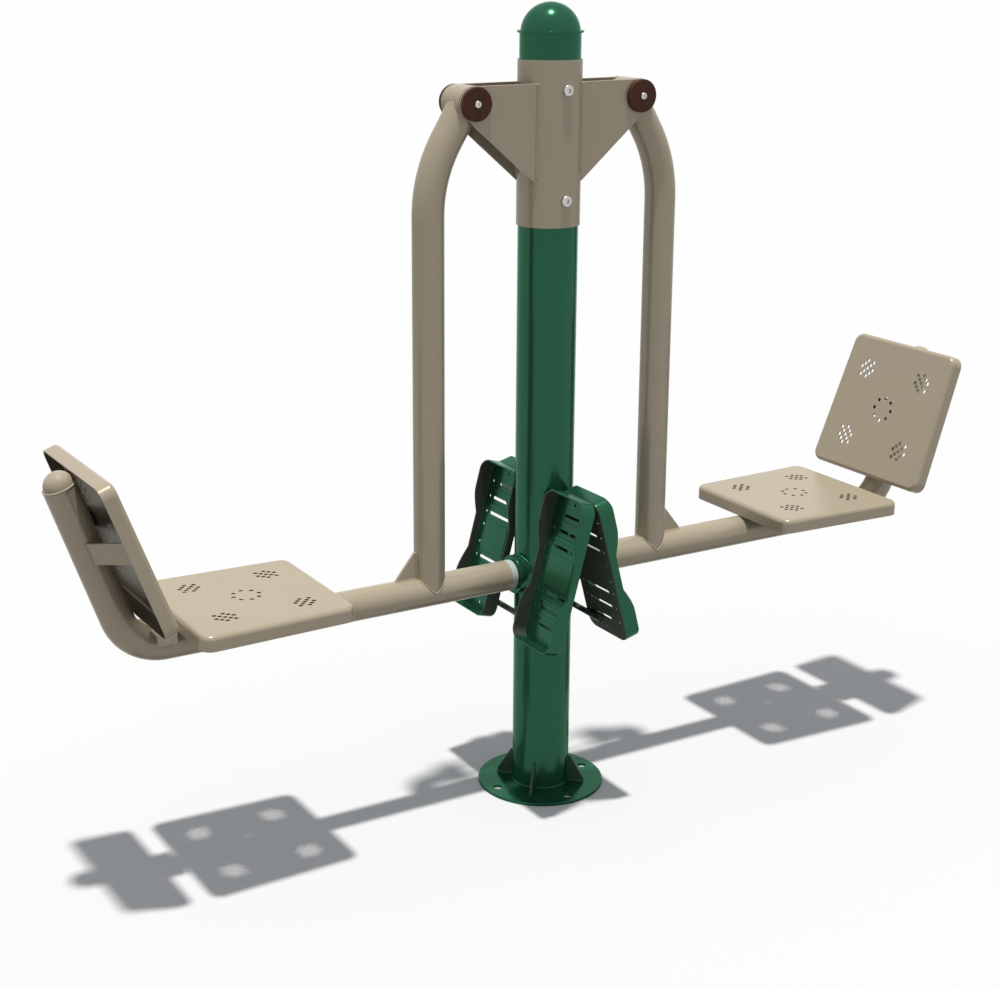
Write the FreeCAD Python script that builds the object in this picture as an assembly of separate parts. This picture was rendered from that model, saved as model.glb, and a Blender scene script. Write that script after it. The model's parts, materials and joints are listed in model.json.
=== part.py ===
import FreeCAD, Part
import math
import os

# Outdoor leg press machine with two swinging seats on one post.
# Millimetres, +Z up, +X towards the right seat, origin on the ground under the middle of the post.

# Post and base
post_diameter = 114.3
post_wall = 4.0
post_top = 1497.0
flange_diameter = 254.0
flange_thickness = 6.0
flange_drain = 60.0
anchor_circle = 204.0
anchor_hole = 18.0
anchor_count = 4
base_gusset_reach = 33.0
base_gusset_height = 54.0
base_gusset_toe = 7.0
base_gusset_crest = 5.0
base_gusset_thickness = 4.0
base_gusset_count = 4

# Domed plugs on the post and on the uprights
post_cap_lip = 123.6
post_cap_lip_height = 4.0
post_cap_dome = 111.0
post_cap_dome_height = 51.0
post_cap_plug_length = 30.0
upright_cap_lip = 61.5
upright_cap_lip_height = 2.5
upright_cap_dome = 55.0
upright_cap_dome_height = 26.0
upright_cap_plug_length = 22.0
cap_wall = 3.0
plug_gap = 0.15

# Head sleeve, its bolts and the pivot ears
sleeve_wall = 3.0
sleeve_gap = 0.15
sleeve_below_top = 47.0
sleeve_height = 305.0
sleeve_bolt_low_inset = 50.0
sleeve_bolt_high_inset = 54.0
sleeve_bolt_diameter = 12.0
sleeve_bolt_hole = 13.0
sleeve_bolt_head = 21.0
sleeve_bolt_head_height = 6.5
sleeve_bolt_socket = 8.0
sleeve_bolt_socket_depth = 4.0
sleeve_bolt_end = 12.0
sleeve_nut_flats = 18.0
sleeve_nut_height = 10.0
sleeve_nut_dome = 8.0
ear_thickness = 5.0
ear_tip_radius = 31.0
ear_root_drop = 150.0
ear_root_x = 52.0

# Pivots and their bearings
pivot_x = 180.5
pivot_below_top = 119.0
shaft_diameter = 25.0
shaft_stand = 2.0
bearing_outer = 52.0
bearing_width = 15.0
bearing_shoulder = 46.0
ball_diameter = 7.9
ball_count = 9
ball_gap = 0.1
race_gap = 3.5
housing_diameter = 63.5
housing_gap = 0.3
shim_thickness = 3.0
spacer_wall = 3.0
pivot_cap_diameter = 62.0
pivot_cap_height = 8.6
pivot_cap_boss = 18.0
pivot_cap_round = 2.0
cap_screw_diameter = 8.0
cap_screw_head = 13.0
cap_screw_head_height = 4.4
cap_screw_socket = 5.0
cap_screw_socket_depth = 2.4
cap_screw_grip = 14.0
tapped_depth = 18.0

# Swing arm and seat beam
tube_diameter = 60.0
tube_wall = 3.0
arm_x = 258.5
arm_lean = 31.1
arm_bend_radius = 258.0
arm_side_gap = 0.4
weld_gap = 0.05
beam_z = 458.0
beam_corner_behind_seat = 74.3
beam_bend_radius = 91.0
upright_past_pan = 34.5
upright_recline = 19.1
arm_gusset_reach = 43.0
arm_gusset_rise = 53.0
arm_gusset_toe = 4.0
arm_gusset_thickness = 6.0

# Stops on the post and bumpers in the beams
stub_diameter = 76.0
stub_wall = 4.0
stub_end = 6.0
stub_face_x = 73.0
bumper_gap = 0.3
bumper_thickness = 14.7
bumper_round = 4.0
bumper_plug_length = 25.0

# Seat and backrest pans
pan_length = 299.5
pan_narrow = 303.0
pan_wide = 327.5
pan_depth = 28.8
pan_sheet = 3.0
pan_corner = 22.0
pan_roll = 9.0
pan_hole = 8.0
cluster_u = 77.0
cluster_v = 84.5
cluster_rows = (3, 5, 3)
cluster_pitch = 10.5
cluster_row_gap = 14.0
ring_radius = 25.0
ring_count = 8
seat_front_x = 488.8
seat_lift = 2.2
back_recline = 20.2
back_ahead_of_corner = 38.6
back_bottom_z = 531.5

# Brackets and fixings of the pans
channel_offset = 44.0
channel_width = 27.0
channel_length = 200.0
channel_sheet = 3.0
channel_saddle_width = 84.0
channel_saddle_drop = 11.2
wing_height = 43.0
wing_lift = 4.9
wing_sheet = 4.0
wing_foot_v = 118.0
wing_flange = 28.0
wing_grip_side = 0.5
wing_overlap = 14.0
saddle_behind_seat = 3.0
saddle_length = 38.0
saddle_width = 96.0
saddle_drop = 16.0
saddle_sheet = 4.0
stud_diameter = 8.0
stud_hole = 9.0
stud_length = 16.0
stud_seat_v = 76.0
stud_back_spread = 12.0
nut_flats = 13.0
nut_height = 6.5

# Foot trays and the bars under them
foot_tilt = 15.0
foot_top_z = 638.0
foot_length = 303.2
foot_width = 132.0
foot_inner_y = 54.6
foot_sheet = 3.0
foot_corner = 24.0
foot_bend = 3.5
foot_ridge_gap = 0.1
end_wall = 29.5
ball_wall = 32.3
arch_wall = 17.1
ball_from = 20.0
ball_to = 62.0
ball_ease = 17.0
arch_from = 115.0
arch_ease = 15.0
arch_slope = 0.4
foot_row_first = 42.4
foot_row_pitch = 31.7
foot_arch_dot = 133.2
foot_slot_lengths = (51.0, 75.5, 75.5)
foot_slot_width = 6.0
foot_dot = 6.0
foot_dot_inset = 15.8
foot_end_hole = 17.0
foot_rib_length = 76.0
foot_rib_width = 7.0
foot_rib_height = 1.6
arch_pad_length = 63.0
arch_pad_width = 82.0
foot_bar_diameter = 12.0
foot_bar_length = 230.0

# Worked out sizes
post_radius = post_diameter / 2
post_bore_radius = post_radius - post_wall
sleeve_bore_radius = post_radius + sleeve_gap
sleeve_radius = sleeve_bore_radius + sleeve_wall
sleeve_top = post_top - sleeve_below_top
sleeve_bottom = sleeve_top - sleeve_height
sleeve_bolt_heights = (sleeve_bottom + sleeve_bolt_low_inset, sleeve_top - sleeve_bolt_high_inset)
pivot_z = post_top - pivot_below_top
ear_root_height = pivot_z - ear_root_drop
tube_radius = tube_diameter / 2
tube_bore_radius = tube_radius - tube_wall
shaft_radius = shaft_diameter / 2
housing_radius = housing_diameter / 2
ear_inner_y = tube_radius + arm_side_gap
ear_outer_y = ear_inner_y + ear_thickness
housing_half = ear_inner_y - housing_gap
bearing_outer_y = ear_inner_y - shim_thickness
bearing_inner_y = bearing_outer_y - bearing_width
shaft_end_y = ear_outer_y + shaft_stand
cap_face_y = ear_outer_y + pivot_cap_height
seat_top = beam_z + tube_radius + seat_lift + pan_depth
seat_rear_x = seat_front_x + pan_length
beam_corner_x = seat_rear_x + beam_corner_behind_seat
saddle_start_x = seat_rear_x + saddle_behind_seat
upright_length = pan_length + upright_past_pan
lean = math.radians(arm_lean)
recline = math.radians(upright_recline)
pan_recline = math.radians(back_recline)
tilt = math.radians(foot_tilt)
foot_top_x = foot_ridge_gap / 2 - foot_bend * (math.sin(tilt) + math.cos(tilt) - 1)

X = FreeCAD.Vector(1, 0, 0)
Y = FreeCAD.Vector(0, 1, 0)
Z = FreeCAD.Vector(0, 0, 1)
ORIGIN = FreeCAD.Vector(0, 0, 0)
SIDES = (-1, 1)


def point(x, y, z):
    return FreeCAD.Vector(x, y, z)


def cylinder(radius, start, axis, length):
    return Part.makeCylinder(radius, length, start, axis)


def ring(outer, inner, start, axis, length):
    return cylinder(outer, start, axis, length).cut(cylinder(inner, start, axis, length))


def box(low, high):
    size = high - low
    return Part.makeBox(size.x, size.y, size.z, low)


def slab(corners, thickness_vector):
    """Closed polygon pushed along a vector."""
    return Part.Face(Part.makePolygon(corners + corners[:1])).extrude(thickness_vector)


def hexagon(flats, start, axis, length):
    """Six-sided prism across the given flats."""
    across = flats / math.sqrt(3)
    corners = []
    for step in range(6):
        turn = math.radians(60 * step)
        corners.append(point(across * math.cos(turn), across * math.sin(turn), 0))
    prism = slab(corners, Z * length)
    prism.Placement = FreeCAD.Placement(start, FreeCAD.Rotation(Z, axis))
    return prism


def placed(shape, origin, along, across, up):
    """Shape moved from its own X, Y and Z axes to the given directions."""
    matrix = FreeCAD.Matrix(along.x, across.x, up.x, origin.x,
                            along.y, across.y, up.y, origin.y,
                            along.z, across.z, up.z, origin.z,
                            0, 0, 0, 1)
    moved = shape.copy()
    moved.Placement = FreeCAD.Placement(matrix)
    return moved


def flip_x(shape):
    return shape.mirror(ORIGIN, X)


def flip_y(shape):
    return shape.mirror(ORIGIN, Y)


def both_ends(shape):
    """The shape and its mirror image across the middle plane."""
    return [shape, flip_y(shape)]


def turned(corners):
    """Solid of revolution of a closed outline about Z."""
    return Part.Face(Part.Wire(corners)).revolve(ORIGIN, Z, 360)


def swept(path_edges, radius):
    """Round bar along a smooth path of lines and arcs."""
    path = Part.Wire(path_edges)
    start = path_edges[0].valueAt(path_edges[0].FirstParameter)
    heading = path_edges[0].tangentAt(path_edges[0].FirstParameter)
    outline = Part.Wire([Part.makeCircle(radius, start, heading)])
    return path.makePipeShell([outline], True, False)


def export(name, shapes):
    shape = shapes if not isinstance(shapes, list) else Part.makeCompound(shapes)
    shape.exportStep(os.path.join("parts", name + ".step"))
    print(name, len(shape.Solids), "solids", round(shape.Volume / 1000, 1), "cm3", shape.isValid())


# Post and base

def post_solid(radius=post_radius):
    return cylinder(radius, ORIGIN, Z, post_top)


def sleeve_bolt_bores():
    reach = sleeve_radius + sleeve_bolt_end
    bores = []
    for height in sleeve_bolt_heights:
        bores.append(cylinder(sleeve_bolt_hole / 2, point(0, -reach, height), Y, 2 * reach))
    return bores


def make_post_tube():
    start = point(0, 0, flange_thickness)
    tube = ring(post_radius, post_bore_radius, start, Z, post_top - flange_thickness)
    return tube.cut(sleeve_bolt_bores())


def make_base_flange():
    disc = ring(flange_diameter / 2, flange_drain / 2, ORIGIN, Z, flange_thickness)
    holes = []
    for step in range(anchor_count):
        turn = 2 * math.pi * step / anchor_count
        centre = point(math.cos(turn), math.sin(turn), 0) * (anchor_circle / 2)
        holes.append(cylinder(anchor_hole / 2, centre, Z, flange_thickness))
    return disc.cut(holes)


def make_base_gussets():
    foot = flange_thickness
    crest = foot + base_gusset_height
    toe_x = post_radius + base_gusset_reach
    half = base_gusset_thickness / 2
    corners = [point(post_bore_radius, -half, foot), point(toe_x, -half, foot),
               point(toe_x, -half, foot + base_gusset_toe),
               point(post_radius + base_gusset_crest, -half, crest),
               point(post_bore_radius, -half, crest)]
    web = slab(corners, Y * base_gusset_thickness).cut(post_solid())
    webs = []
    for step in range(base_gusset_count):
        copy = web.copy()
        copy.rotate(ORIGIN, Z, 360 * (step + 0.5) / base_gusset_count)
        webs.append(copy)
    return webs


def dome_outline(foot_radius, foot_height, dome_height, axis_bottom, skirt):
    """Edges of a domed outline: up the skirt, over the dome and back down the axis."""
    sphere = (foot_radius ** 2 + dome_height ** 2) / (2 * dome_height)
    centre = foot_height + dome_height - sphere
    half_turn = 0.5 * (math.asin((foot_height - centre) / sphere) + math.pi / 2)
    middle = point(sphere * math.cos(half_turn), 0, centre + sphere * math.sin(half_turn))
    top = point(0, 0, foot_height + dome_height)
    foot = point(foot_radius, 0, foot_height)
    corners = [point(0, 0, axis_bottom)] + skirt + [foot]
    edges = [Part.makeLine(a, b) for a, b in zip(corners, corners[1:])]
    edges.append(Part.Arc(foot, middle, top).toShape())
    edges.append(Part.makeLine(top, corners[0]))
    return edges


def domed_plug(bore_radius, plug_length, lip_diameter, lip_height, dome_diameter, dome_height):
    """Hollow plug for a tube end, with its lip on z = 0 and its dome above."""
    plug_radius = bore_radius - plug_gap
    lip_radius = lip_diameter / 2
    dome_radius = dome_diameter / 2
    skirt = [point(plug_radius, 0, -plug_length), point(plug_radius, 0, 0), point(lip_radius, 0, 0),
             point(lip_radius, 0, lip_height)]
    outside = turned(dome_outline(dome_radius, lip_height, dome_height, -plug_length, skirt))
    hollow_radius = plug_radius - cap_wall
    hollow_foot = [point(hollow_radius, 0, -plug_length)]
    hollow_height = dome_height - cap_wall
    inside = turned(dome_outline(hollow_radius, lip_height, hollow_height, -plug_length, hollow_foot))
    return outside.cut(inside)


def make_post_cap():
    cap = domed_plug(post_bore_radius, post_cap_plug_length, post_cap_lip, post_cap_lip_height,
                     post_cap_dome, post_cap_dome_height)
    cap.translate(Z * post_top)
    return cap


# Head sleeve, bolts and ears

def sleeve_solid():
    return cylinder(sleeve_radius, point(0, 0, sleeve_bottom), Z, sleeve_top - sleeve_bottom)


def make_head_sleeve():
    height = sleeve_top - sleeve_bottom
    sleeve = ring(sleeve_radius, sleeve_bore_radius, point(0, 0, sleeve_bottom), Z, height)
    return sleeve.cut(sleeve_bolt_bores())


def make_sleeve_bolts():
    bolts = []
    for height in sleeve_bolt_heights:
        head_face = -sleeve_radius - sleeve_bolt_head_height
        head = cylinder(sleeve_bolt_head / 2, point(0, head_face, height), Y,
                        sleeve_bolt_head_height + sleeve_wall)
        rim = [edge for edge in head.Edges if edge.CenterOfMass.y < head_face + plug_gap]
        head = head.makeFillet(sleeve_bolt_head_height / 2, rim[:1])
        socket = hexagon(sleeve_bolt_socket, point(0, head_face, height), Y, sleeve_bolt_socket_depth)
        head = head.cut(socket).cut(sleeve_solid())
        shank_start = point(0, -sleeve_radius - sleeve_wall / 2, height)
        shank_length = 2 * sleeve_radius + sleeve_wall / 2 + sleeve_bolt_end
        shank = cylinder(sleeve_bolt_diameter / 2, shank_start, Y, shank_length)
        bolts.append(head.fuse(shank).removeSplitter())
    return bolts


def make_sleeve_nuts():
    nuts = []
    for height in sleeve_bolt_heights:
        start = point(0, sleeve_radius - sleeve_wall, height)
        prism = hexagon(sleeve_nut_flats, start, Y, sleeve_nut_height + sleeve_wall)
        crown = Part.makeSphere(sleeve_nut_dome, point(0, sleeve_radius + sleeve_nut_height, height))
        nut = prism.fuse(crown).removeSplitter()
        bore = cylinder(sleeve_bolt_diameter / 2, start, Y, sleeve_wall + sleeve_bolt_end)
        nuts.append(nut.cut(bore).cut(sleeve_solid()))
    return nuts


def make_ear():
    """Right front ear: a plate with a round tip, tangent edges and a shaft hole."""
    reach = math.hypot(pivot_x - ear_root_x, pivot_z - ear_root_height)
    heading = math.atan2(ear_root_height - pivot_z, ear_root_x - pivot_x)
    tangent = heading + math.acos(ear_tip_radius / reach)
    touch_x = pivot_x + ear_tip_radius * math.cos(tangent)
    touch_z = pivot_z + ear_tip_radius * math.sin(tangent)
    slope = (touch_z - ear_root_height) / (touch_x - ear_root_x)
    inner_x = ear_root_x - post_radius / 2
    inner_z = ear_root_height + slope * (inner_x - ear_root_x)
    top = pivot_z + ear_tip_radius
    outline = [point(inner_x, -ear_outer_y, top), point(pivot_x, -ear_outer_y, top),
               point(pivot_x, -ear_outer_y, pivot_z), point(touch_x, -ear_outer_y, touch_z),
               point(inner_x, -ear_outer_y, inner_z)]
    tip = cylinder(ear_tip_radius, point(pivot_x, -ear_outer_y, pivot_z), Y, ear_thickness)
    plate = slab(outline, Y * ear_thickness).fuse(tip).removeSplitter()
    bore = cylinder(shaft_radius, point(pivot_x, -ear_outer_y, pivot_z), Y, ear_thickness)
    return plate.cut([sleeve_solid(), bore])


# Stops and foot trays

def make_stop_stub():
    body = cylinder(stub_diameter / 2, point(0, 0, beam_z), X, stub_face_x)
    bore = cylinder(stub_diameter / 2 - stub_wall, point(0, 0, beam_z), X, stub_face_x - stub_end)
    return body.cut([bore, post_solid()])


def rounded_block(low, high, corner, bottom_round):
    """Block with round upright corners and a rounded bottom edge."""
    block = box(low, high)
    uprights = [edge for edge in block.Edges if edge.BoundBox.ZLength > plug_gap]
    block = block.makeFillet(corner, uprights)
    floor = [edge for edge in block.Edges if edge.BoundBox.ZMax < low.z + plug_gap]
    return block.makeFillet(bottom_round, floor)


def foot_wall_profile():
    """Side view of the tray: the free edge bulges at the ball and heel and dips at the arch."""
    toe_half = [
        [(0, end_wall), (ball_from / 2, ball_wall), (ball_from, ball_wall)],
        [(ball_from, ball_wall), (ball_to, ball_wall)],
        [(ball_to, ball_wall), (ball_to + ball_ease, ball_wall),
         (arch_from - arch_ease, arch_wall + arch_slope * arch_ease), (arch_from, arch_wall)],
    ]
    heel_half = [[(foot_length - s, h) for s, h in reversed(poles)] for poles in reversed(toe_half)]
    arch = [(arch_from, arch_wall), (foot_length - arch_from, arch_wall)]
    back = [[(foot_length, end_wall), (foot_length, 0)], [(foot_length, 0), (0, 0)], [(0, 0), (0, end_wall)]]
    edges = []
    for poles in toe_half + [arch] + heel_half + back:
        spots = [point(s, 0, h) for s, h in poles]
        if len(spots) == 2:
            edges.append(Part.makeLine(*spots))
            continue
        curve = Part.BezierCurve()
        curve.setPoles(spots)
        edges.append(curve.toShape())
    return Part.Face(Part.Wire(edges))


def foot_rows():
    """Distance of each row of dots from the toe end, and the length of its slot."""
    rows = [(foot_row_first + index * foot_row_pitch, length) for index, length in enumerate(foot_slot_lengths)]
    rows.append((foot_arch_dot, 0))
    return rows + [(foot_length - s, length) for s, length in rows]


def foot_ribs():
    """Distances of the ribs from the toe end: one between each two slots."""
    ribs = [foot_row_first + (index + 0.5) * foot_row_pitch for index in range(len(foot_slot_lengths) - 1)]
    return ribs + [foot_length - s for s in ribs]


def slot_cutter(s, middle_y, length):
    radius = foot_slot_width / 2
    half = length / 2 - radius
    block = box(point(s - radius, middle_y - half, 0), point(s + radius, middle_y + half, ball_wall))
    ends = [cylinder(radius, point(s, middle_y + end * half, 0), Z, ball_wall) for end in SIDES]
    return block.fuse(ends)


def make_foot_tray():
    """Right rear tray: a perforated sole at the back and walls towards the user."""
    outer_y = foot_inner_y + foot_width
    middle_y = foot_inner_y + foot_width / 2
    top = ball_wall + foot_sheet
    low = point(0, foot_inner_y, 0)
    high = point(foot_length, outer_y, top)
    outside = rounded_block(low, high, foot_corner, foot_bend)
    low = point(foot_sheet, foot_inner_y + foot_sheet, foot_sheet)
    high = point(foot_length - foot_sheet, outer_y - foot_sheet, top)
    inside = rounded_block(low, high, foot_corner - foot_sheet, foot_bend - foot_sheet)
    side_view = foot_wall_profile().extrude(Y * (outer_y + foot_width))
    tray = outside.cut(inside).common(side_view)
    rib_top = foot_sheet + foot_rib_height
    pads = [(foot_length / 2, arch_pad_length, arch_pad_width)]
    pads += [(s, foot_rib_width, foot_rib_length) for s in foot_ribs()]
    raised = [box(point(s - length / 2, middle_y - width / 2, foot_sheet / 2),
                  point(s + length / 2, middle_y + width / 2, rib_top)) for s, length, width in pads]
    tray = tray.fuse(raised)
    cutters = [cylinder(foot_dot / 2, point(s, middle_y, 0), Z, ball_wall)
               for s in (foot_end_hole, foot_length - foot_end_hole)]
    for s, slot_length in foot_rows():
        for side in SIDES:
            dot = point(s, middle_y + side * (foot_width / 2 - foot_dot_inset), 0)
            cutters.append(cylinder(foot_dot / 2, dot, Z, rib_top))
        if slot_length:
            cutters.append(slot_cutter(s, middle_y, slot_length))
    tray = tray.cut(cutters)
    down = point(math.sin(tilt), 0, -math.cos(tilt))
    towards_user = point(math.cos(tilt), 0, math.sin(tilt))
    tray = placed(tray, point(foot_top_x, 0, foot_top_z), down, Y, towards_user)
    return tray.cut(post_solid(post_radius + weld_gap))


def make_foot_bar():
    """Bar along Y that touches the post and the backs of the two trays on its side."""
    radius = foot_bar_diameter / 2
    bar_x = post_radius + weld_gap + radius
    drop = (radius + weld_gap + (bar_x - foot_top_x) * math.cos(tilt)) / math.sin(tilt)
    start = point(bar_x, -foot_bar_length / 2, foot_top_z - drop)
    return cylinder(radius, start, Y, foot_bar_length)


# Pivots

def on_pivot(radius, from_y, to_y):
    return cylinder(radius, point(pivot_x, from_y, pivot_z), Y, to_y - from_y)


def make_pivot_shaft():
    shaft = on_pivot(shaft_radius, -shaft_end_y, shaft_end_y)
    hole = on_pivot(cap_screw_diameter / 2, -shaft_end_y, -shaft_end_y + tapped_depth)
    return shaft.cut(both_ends(hole))


def race_torus(middle_y):
    pitch_radius = (shaft_diameter + bearing_outer) / 4
    return Part.makeTorus(pitch_radius, ball_diameter / 2 + ball_gap, point(pivot_x, middle_y, pivot_z), Y)


def make_bearing():
    """Inner ring, outer ring and balls of the rear bearing."""
    middle_y = (bearing_inner_y + bearing_outer_y) / 2
    pitch_radius = (shaft_diameter + bearing_outer) / 4
    groove = race_torus(middle_y)
    inner = on_pivot(pitch_radius - race_gap, bearing_inner_y, bearing_outer_y)
    inner = inner.cut(on_pivot(shaft_radius, bearing_inner_y, bearing_outer_y)).cut(groove)
    outer = on_pivot(bearing_outer / 2, bearing_inner_y, bearing_outer_y)
    outer = outer.cut(on_pivot(pitch_radius + race_gap, bearing_inner_y, bearing_outer_y)).cut(groove)
    balls = []
    for step in range(ball_count):
        turn = 2 * math.pi * step / ball_count
        out = point(math.cos(turn), 0, math.sin(turn)) * pitch_radius
        centre = point(pivot_x, middle_y, pivot_z) + out
        balls.append(Part.makeSphere(ball_diameter / 2, centre))
    return inner, outer, balls


def make_bearing_spacers():
    radius = shaft_radius + spacer_wall
    middle = on_pivot(radius, -bearing_inner_y, bearing_inner_y)
    middle = middle.cut(on_pivot(shaft_radius, -bearing_inner_y, bearing_inner_y))
    shim = on_pivot(radius, bearing_outer_y, ear_inner_y)
    shim = shim.cut(on_pivot(shaft_radius, bearing_outer_y, ear_inner_y))
    return [middle] + both_ends(shim)


def make_pivot_cap():
    """Rear cover: a shallow cup with a middle boss on the shaft end."""
    radius = pivot_cap_diameter / 2
    cup = on_pivot(radius, ear_outer_y, cap_face_y)
    face_rim = [edge for edge in cup.Edges if edge.CenterOfMass.y > cap_face_y - plug_gap]
    cup = cup.makeFillet(pivot_cap_round, face_rim[:1])
    cup = cup.cut(on_pivot(radius - cap_wall, ear_outer_y, cap_face_y - cap_wall))
    cup = cup.fuse(on_pivot(pivot_cap_boss / 2, shaft_end_y, cap_face_y - cap_wall))
    return cup.cut(on_pivot(cap_screw_diameter / 2, ear_outer_y, cap_face_y)).removeSplitter()


def make_cap_screw():
    head = on_pivot(cap_screw_head / 2, cap_face_y, cap_face_y + cap_screw_head_height)
    head_top = cap_face_y + cap_screw_head_height
    rim = [edge for edge in head.Edges if edge.CenterOfMass.y > head_top - plug_gap]
    head = head.makeFillet(cap_screw_head_height / 2, rim[:1])
    start = point(pivot_x, head_top - cap_screw_socket_depth, pivot_z)
    head = head.cut(hexagon(cap_screw_socket, start, Y, cap_screw_socket_depth))
    shank = on_pivot(cap_screw_diameter / 2, shaft_end_y - cap_screw_grip, cap_face_y)
    return head.fuse(shank).removeSplitter()


def make_pivot_housing():
    housing = on_pivot(housing_radius, -housing_half, housing_half)
    housing = housing.cut(on_pivot(bearing_shoulder / 2, -housing_half, housing_half))
    seat = on_pivot(bearing_outer / 2, bearing_inner_y, housing_half)
    return housing.cut(both_ends(seat))


# Swing arm and seat beam

def arm_path():
    """Leaning out from the pivot, round the bend, then straight down to the beam."""
    straight = (arm_x - pivot_x - arm_bend_radius * (1 - math.cos(lean))) / math.sin(lean)
    top = point(pivot_x, 0, pivot_z)
    bend_top = top + point(math.sin(lean), 0, -math.cos(lean)) * straight
    bend_foot = point(arm_x, 0, bend_top.z - arm_bend_radius * math.sin(lean))
    centre = bend_foot - X * arm_bend_radius
    middle = centre + point(math.cos(lean / 2), 0, math.sin(lean / 2)) * arm_bend_radius
    return [Part.makeLine(top, bend_top), Part.Arc(bend_top, middle, bend_foot).toShape(),
            Part.makeLine(bend_foot, point(arm_x, 0, beam_z))]


def upright_direction():
    return point(math.sin(recline), 0, math.cos(recline))


def beam_start_x():
    return stub_face_x + bumper_gap + bumper_thickness


def beam_path():
    """Along the beam, round the bend behind the seat and up the backrest."""
    turn = math.pi / 2 - recline
    tangent = beam_bend_radius * math.tan(turn / 2)
    corner = point(beam_corner_x, 0, beam_z)
    bend_start = corner - X * tangent
    bend_end = corner + upright_direction() * tangent
    centre = bend_start + Z * beam_bend_radius
    to_corner = corner - centre
    middle = centre + to_corner * (beam_bend_radius / to_corner.Length)
    end = corner + upright_direction() * upright_length
    return [Part.makeLine(point(beam_start_x(), 0, beam_z), bend_start),
            Part.Arc(bend_start, middle, bend_end).toShape(),
            Part.makeLine(bend_end, end)]


def beam_solid():
    return swept(beam_path(), tube_radius)


def make_beam_tube(beam):
    return beam.cut(swept(beam_path(), tube_bore_radius))


def make_arm_tube(arm):
    tube = arm.cut(swept(arm_path(), tube_bore_radius))
    beam_point = point(arm_x - tube_diameter, 0, beam_z)
    around_beam = cylinder(tube_radius + weld_gap, beam_point, X, 2 * tube_diameter)
    return tube.cut([on_pivot(housing_radius, -tube_diameter, tube_diameter), around_beam])


def make_arm_gusset(arm, beam):
    half = arm_gusset_thickness / 2
    inner_x = arm_x + tube_bore_radius
    inner_z = beam_z + tube_bore_radius
    toe_x = arm_x + tube_radius + arm_gusset_reach
    crest_z = beam_z + tube_radius + arm_gusset_rise
    corners = [point(inner_x, -half, inner_z), point(toe_x, -half, inner_z),
               point(toe_x, -half, beam_z + tube_radius + arm_gusset_toe),
               point(arm_x + tube_radius + arm_gusset_toe, -half, crest_z), point(inner_x, -half, crest_z)]
    return slab(corners, Y * arm_gusset_thickness).cut([arm, beam])


def make_beam_bumper():
    face = stub_face_x + bumper_gap
    button = cylinder(tube_radius, point(face, 0, beam_z), X, bumper_thickness)
    rim = [edge for edge in button.Edges if edge.CenterOfMass.x < face + plug_gap]
    button = button.makeFillet(bumper_round, rim[:1])
    plug = cylinder(tube_bore_radius - plug_gap, point(beam_start_x(), 0, beam_z), X, bumper_plug_length)
    return button.fuse(plug).removeSplitter()


def make_upright_cap():
    cap = domed_plug(tube_bore_radius, upright_cap_plug_length, upright_cap_lip, upright_cap_lip_height,
                     upright_cap_dome, upright_cap_dome_height)
    end = point(beam_corner_x, 0, beam_z) + upright_direction() * upright_length
    return placed(cap, end, point(math.cos(recline), 0, -math.sin(recline)), Y, upright_direction())


# Pans

def pan_block(inset, depth_from, depth_to, roll):
    """Tapered block with round corners and a rolled top edge, inset from the pan's outline."""
    slope = (pan_wide - pan_narrow) / 2 / pan_length
    side = inset * math.hypot(1, slope)
    near = pan_narrow / 2 + slope * inset - side
    far = pan_wide / 2 - slope * inset - side
    low, high = inset, pan_length - inset
    corners = [point(low, -near, depth_from), point(high, -far, depth_from),
               point(high, far, depth_from), point(low, near, depth_from)]
    block = slab(corners, Z * (depth_to - depth_from))
    uprights = [edge for edge in block.Edges if edge.BoundBox.ZLength > pan_sheet]
    block = block.makeFillet(pan_corner - inset, uprights)
    rim = [edge for edge in block.Edges if edge.BoundBox.ZMin > depth_to - plug_gap]
    return block.makeFillet(roll, rim)


def pan_hole_centres():
    """Four groups of three rows set square to the diagonals, and a ring in the middle."""
    centres = []
    for side_u in SIDES:
        for side_v in SIDES:
            group = point(side_u * cluster_u, side_v * cluster_v, 0)
            out = point(side_u, side_v, 0) / math.sqrt(2)
            along = point(-out.y, out.x, 0)
            for row, count in enumerate(cluster_rows):
                lift = (row - (len(cluster_rows) - 1) / 2) * cluster_row_gap
                for step in range(count):
                    offset = (step - (count - 1) / 2) * cluster_pitch
                    centres.append(group + out * lift + along * offset)
    for step in range(ring_count):
        turn = 2 * math.pi * step / ring_count
        centres.append(point(ring_radius * math.cos(turn), ring_radius * math.sin(turn), 0))
    return centres


def make_pan():
    """Pan with its top on z = 0, its narrow edge on x = 0 and its rims below."""
    shell = pan_block(0, -pan_depth, 0, pan_roll)
    shell = shell.cut(pan_block(pan_sheet, -pan_depth, -pan_sheet, pan_roll - pan_sheet))
    middle = point(pan_length / 2, 0, -pan_depth)
    drills = [cylinder(pan_hole / 2, middle + centre, Z, pan_depth) for centre in pan_hole_centres()]
    return shell.cut(drills)


def on_seat(shape):
    return placed(shape, point(seat_front_x, 0, seat_top), X, Y, Z)


def back_up():
    return point(math.sin(pan_recline), 0, math.cos(pan_recline))


def back_facing():
    return point(-math.cos(pan_recline), 0, math.sin(pan_recline))


def on_back(shape):
    """Backrest frame: narrow edge at the top, face towards the seat."""
    bottom = point(beam_corner_x - back_ahead_of_corner, 0, back_bottom_z)
    return placed(shape, bottom + back_up() * pan_length, back_up() * -1, Y * -1, back_facing())


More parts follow.
